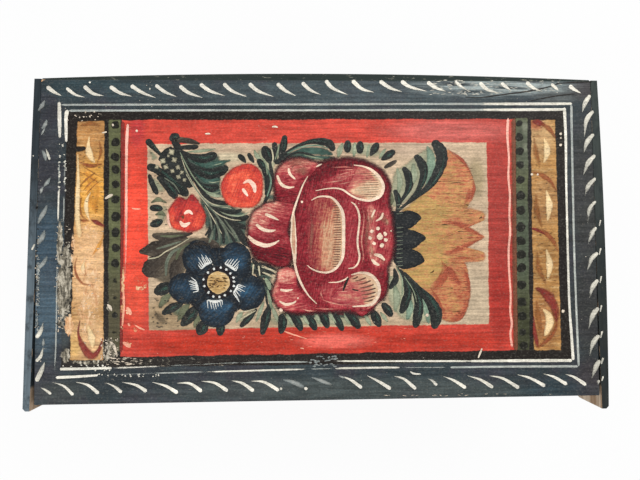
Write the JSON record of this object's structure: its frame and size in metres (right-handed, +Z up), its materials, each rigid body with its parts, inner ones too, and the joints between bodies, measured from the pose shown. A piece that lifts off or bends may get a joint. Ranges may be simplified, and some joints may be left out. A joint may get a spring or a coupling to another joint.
{
  "type": "painted wooden box",
  "caption": "Long dovetailed wooden box with a painted single-board lid, cleated at both ends, that swings open on wooden pins.",
  "frame": {"origin": "on the floor under the middle of the box", "axes": "+Z up, +X to the right along the length, -Y towards the front that opens"},
  "size_m": [0.5667, 0.332, 0.247],
  "materials": {
    "case_paint": "dark blue-green distemper, worn to the wood along the edges",
    "lid_paint": "flowers in oil paint on red, cream and dark blue grounds, worn and scratched",
    "cleat_paint": "dark blue-green paint, worn along the edges, bare wood inside",
    "bare_wood": "bare, darkened by handling",
    "forged_iron": "forged, dark brown rust"
  },
  "bodies": {
    "case": {"base_board": "case_paint", "front_board": "case_paint", "back_board": "case_paint", "left_end_board": "case_paint", "right_end_board": "case_paint", "base_nails": "forged_iron", "left_pivot_pin": "bare_wood", "right_pivot_pin": "bare_wood"},
    "lid": {"lid_board": "lid_paint", "left_cleat": "cleat_paint", "right_cleat": "cleat_paint", "left_cleat_nails": "forged_iron", "right_cleat_nails": "forged_iron"}
  },
  "joints": [
    {"name": "lid_swing", "type": "hinge", "parent": "case", "child": "lid", "pos_m": [0, 0.137, 0.213], "axis": [-1, 0, 0], "range_deg": [0, 103]}
  ]
}
